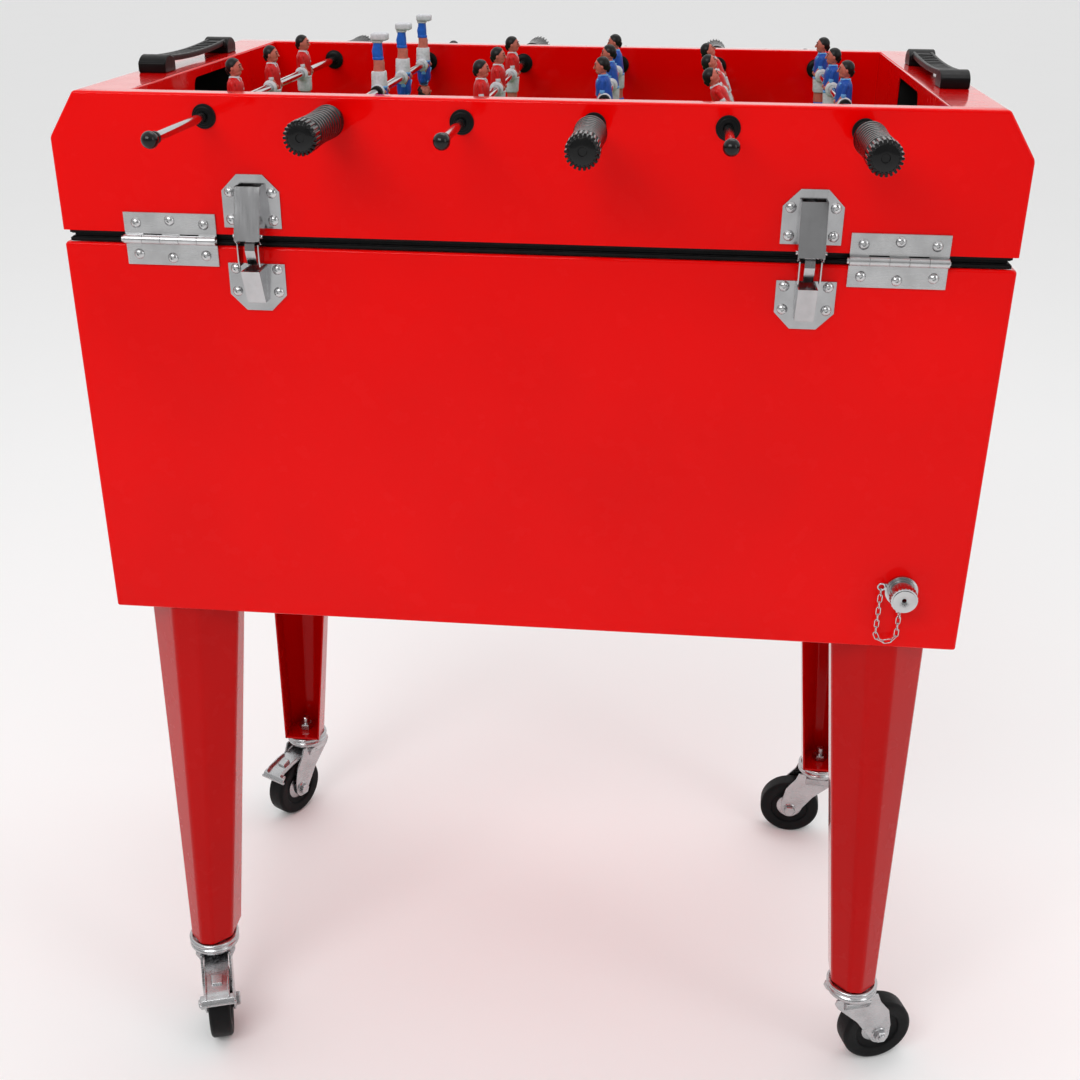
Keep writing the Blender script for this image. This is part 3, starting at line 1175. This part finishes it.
def stage():
    """Pale floor, soft lights and the camera."""
    scene = bpy.context.scene
    values = scene.foos_stage
    bm = bmesh.new()
    bmesh.ops.create_circle(bm, cap_ends=True, radius=FLOOR_RADIUS, segments=96)
    bmesh.ops.translate(bm, vec=(0, 8, -0.0003), verts=bm.verts)
    mesh = bpy.data.meshes.new("studio_floor")
    bm.to_mesh(mesh)
    bm.free()
    mesh.materials.append(floor_finish("studio_floor", tuple(values.floor)))
    floor = bpy.data.objects.new("studio_floor", mesh)
    scene.collection.objects.link(floor)
    world = bpy.data.worlds.new("studio_sky")
    world.use_nodes = True
    nodes, links = world.node_tree.nodes, world.node_tree.links
    coords, facing, ramp = (nodes.new(kind) for kind in (
        "ShaderNodeTexCoord", "ShaderNodeVectorMath", "ShaderNodeMapRange"))
    facing.operation = "DOT_PRODUCT"
    facing.inputs[1].default_value = SKY_FACING
    for socket, value in (("From Min", -0.35), ("From Max", 0.60),
                          ("To Min", values.sky * SKY_DARK), ("To Max", values.sky)):
        ramp.inputs[socket].default_value = value
    links.new(coords.outputs["Generated"], facing.inputs[0])
    links.new(facing.outputs["Value"], ramp.inputs["Value"])
    links.new(ramp.outputs["Result"], nodes["Background"].inputs["Strength"])
    nodes["Background"].inputs["Color"].default_value = (1, 1, 1, 1)
    scene.world = world
    for name, where, aim, size, power in (
            ("key", (-0.8, -2.0, 2.3), (0, 0, 0.85), (1.6, 0.9), values.key_power),
            ("side", (2.6, -1.6, 1.9), (0, 0, 0.7), (0.9, 1.8), values.key_power * 0.42),
            ("top", (0.3, 0.9, 3.2), (0, 0, 0.9), (1.6, 1.0), values.key_power * 0.5)):
        data = bpy.data.lights.new(name, "AREA")
        data.shape = "RECTANGLE"
        data.size, data.size_y = size
        data.energy = power
        lamp = bpy.data.objects.new(name, data)
        scene.collection.objects.link(lamp)
        lamp.location = where
        lamp.rotation_euler = (Vector(aim) - Vector(where)).to_track_quat("-Z", "Y").to_euler()
    yaw, pitch, roll = values.camera_yaw, values.camera_pitch, values.camera_roll
    ahead = Vector((math.sin(yaw) * math.cos(pitch), math.cos(yaw) * math.cos(pitch),
                    -math.sin(pitch)))
    right = Vector((math.cos(yaw), -math.sin(yaw), 0))
    up = right.cross(ahead)
    level, cos, sin = right, math.cos(roll), math.sin(roll)
    right, up = level * cos + up * sin, up * cos - level * sin
    lens = bpy.data.cameras.new("camera")
    lens.lens = values.camera_lens
    lens.sensor_width = 36
    lens.shift_x, lens.shift_y = CAMERA_SHIFT
    lens.clip_start = 0.01
    camera = bpy.data.objects.new("camera", lens)
    scene.collection.objects.link(camera)
    turn = Matrix((right, up, -ahead)).transposed().to_4x4()
    camera.matrix_world = Matrix.Translation(values.camera_place) @ turn
    scene.camera = camera
    scene.view_settings.view_transform = "Standard"
    scene.view_settings.look = "None"


# ------------------------------------------------------------------ operators

class FOOS_OT_stage(bpy.types.Operator):
    """Adds the floor, the lights and the camera"""
    bl_idname = "foos.stage"
    bl_label = "Stage"

    def execute(self, context):
        stage()
        return {"FINISHED"}


class FOOS_OT_cooler(bpy.types.Operator):
    """Finishes the cooler box, its tub and its legs"""
    bl_idname = "foos.cooler"
    bl_label = "Cooler and legs"

    def execute(self, context):
        cooler_case()
        legs()
        eased("cooler_liner", 1.2 * MM, "tub", 3)
        repaint("cooler_foam", "foam")
        return {"FINISHED"}


class FOOS_OT_lid(bpy.types.Operator):
    """Finishes the lid, its seal, the pitch and the goals"""
    bl_idname = "foos.lid"
    bl_label = "Lid and pitch"

    def execute(self, context):
        lid_case()
        gasket()
        pitch()
        eased("lid_liner", 0.6 * MM, "tub")
        repaint("lid_foam", "foam")
        eased("goal_boxes", 0.5 * MM, "goal_black")
        return {"FINISHED"}


class FOOS_OT_handles(bpy.types.Operator):
    """Adds the two carry handles"""
    bl_idname = "foos.handles"
    bl_label = "Carry handles"

    def execute(self, context):
        carry_handles()
        return {"FINISHED"}


class FOOS_OT_hardware(bpy.types.Operator):
    """Finishes the hinges, the lid stays and the screws"""
    bl_idname = "foos.hardware"
    bl_label = "Hinges, stays and screws"

    def execute(self, context):
        for node in ("hinge_lower_leaves", "hinge_upper_leaves"):
            eased(node, 0.3 * MM, "hinge_steel")
        for node in ("stay_lower_brackets", "stay_upper_brackets", "stay_link_left",
                     "stay_link_right"):
            eased(node, 0.3 * MM, "stay_chrome")
        for node in ("body_screws", "lid_screws"):
            eased(node, 0.15 * MM, "screw_steel")
        repaint("stay_springs", "drain_steel")
        return {"FINISHED"}


class FOOS_OT_rods(bpy.types.Operator):
    """Adds the rods with their grips, caps, rubbers and bushings"""
    bl_idname = "foos.rods"
    bl_label = "Rods"

    def execute(self, context):
        rods()
        bushings()
        return {"FINISHED"}


class FOOS_OT_players(bpy.types.Operator):
    """Adds the players on their rods"""
    bl_idname = "foos.players"
    bl_label = "Players"

    def execute(self, context):
        players()
        return {"FINISHED"}


class FOOS_OT_casters(bpy.types.Operator):
    """Adds the casters and the brake pedals"""
    bl_idname = "foos.casters"
    bl_label = "Casters"

    def execute(self, context):
        caster_races()
        for name in CASTERS:
            caster_fork(name)
            caster_wheel(name)
        for name in ("fl", "bl"):
            caster_pedal(name)
        return {"FINISHED"}


class FOOS_OT_drain(bpy.types.Operator):
    """Finishes the drain, its cap and its chain"""
    bl_idname = "foos.drain"
    bl_label = "Drain"

    def execute(self, context):
        for node in ("drain_spout", "drain_washer", "drain_cap"):
            eased(node, 0.25 * MM, "drain_steel")
        repaint("drain_chain", "drain_steel")
        return {"FINISHED"}


class FOOS_PT_panel(bpy.types.Panel):
    """Lists the steps and their settings"""
    bl_idname = "FOOS_PT_panel"
    bl_label = "Foosball cooler"
    bl_space_type = "VIEW_3D"
    bl_region_type = "UI"
    bl_category = "Foosball"

    def draw(self, context):
        for step in STEPS:
            self.layout.operator(step.bl_idname)
        for group in GROUPS:
            for name in group.__annotations__:
                self.layout.prop(getattr(context.scene, GROUPS[group]), name)


STEPS = (FOOS_OT_stage, FOOS_OT_cooler, FOOS_OT_lid, FOOS_OT_handles, FOOS_OT_hardware,
         FOOS_OT_rods,
         FOOS_OT_players, FOOS_OT_casters, FOOS_OT_drain)
GROUPS = {FoosPaint: "foos_paint", FoosFigures: "foos_figures", FoosHardware: "foos_hardware",
          FoosStage: "foos_stage"}


def register():
    for group, name in GROUPS.items():
        bpy.utils.register_class(group)
        setattr(bpy.types.Scene, name, PointerProperty(type=group))
    for step in STEPS:
        bpy.utils.register_class(step)
    bpy.utils.register_class(FOOS_PT_panel)


def unregister():
    bpy.utils.unregister_class(FOOS_PT_panel)
    for step in reversed(STEPS):
        bpy.utils.unregister_class(step)
    for group, name in GROUPS.items():
        delattr(bpy.types.Scene, name)
        bpy.utils.unregister_class(group)


def main():
    register()
    for step in STEPS:
        area, action = step.bl_idname.split(".")
        getattr(getattr(bpy.ops, area), action)()


if __name__ == "__main__":
    main()
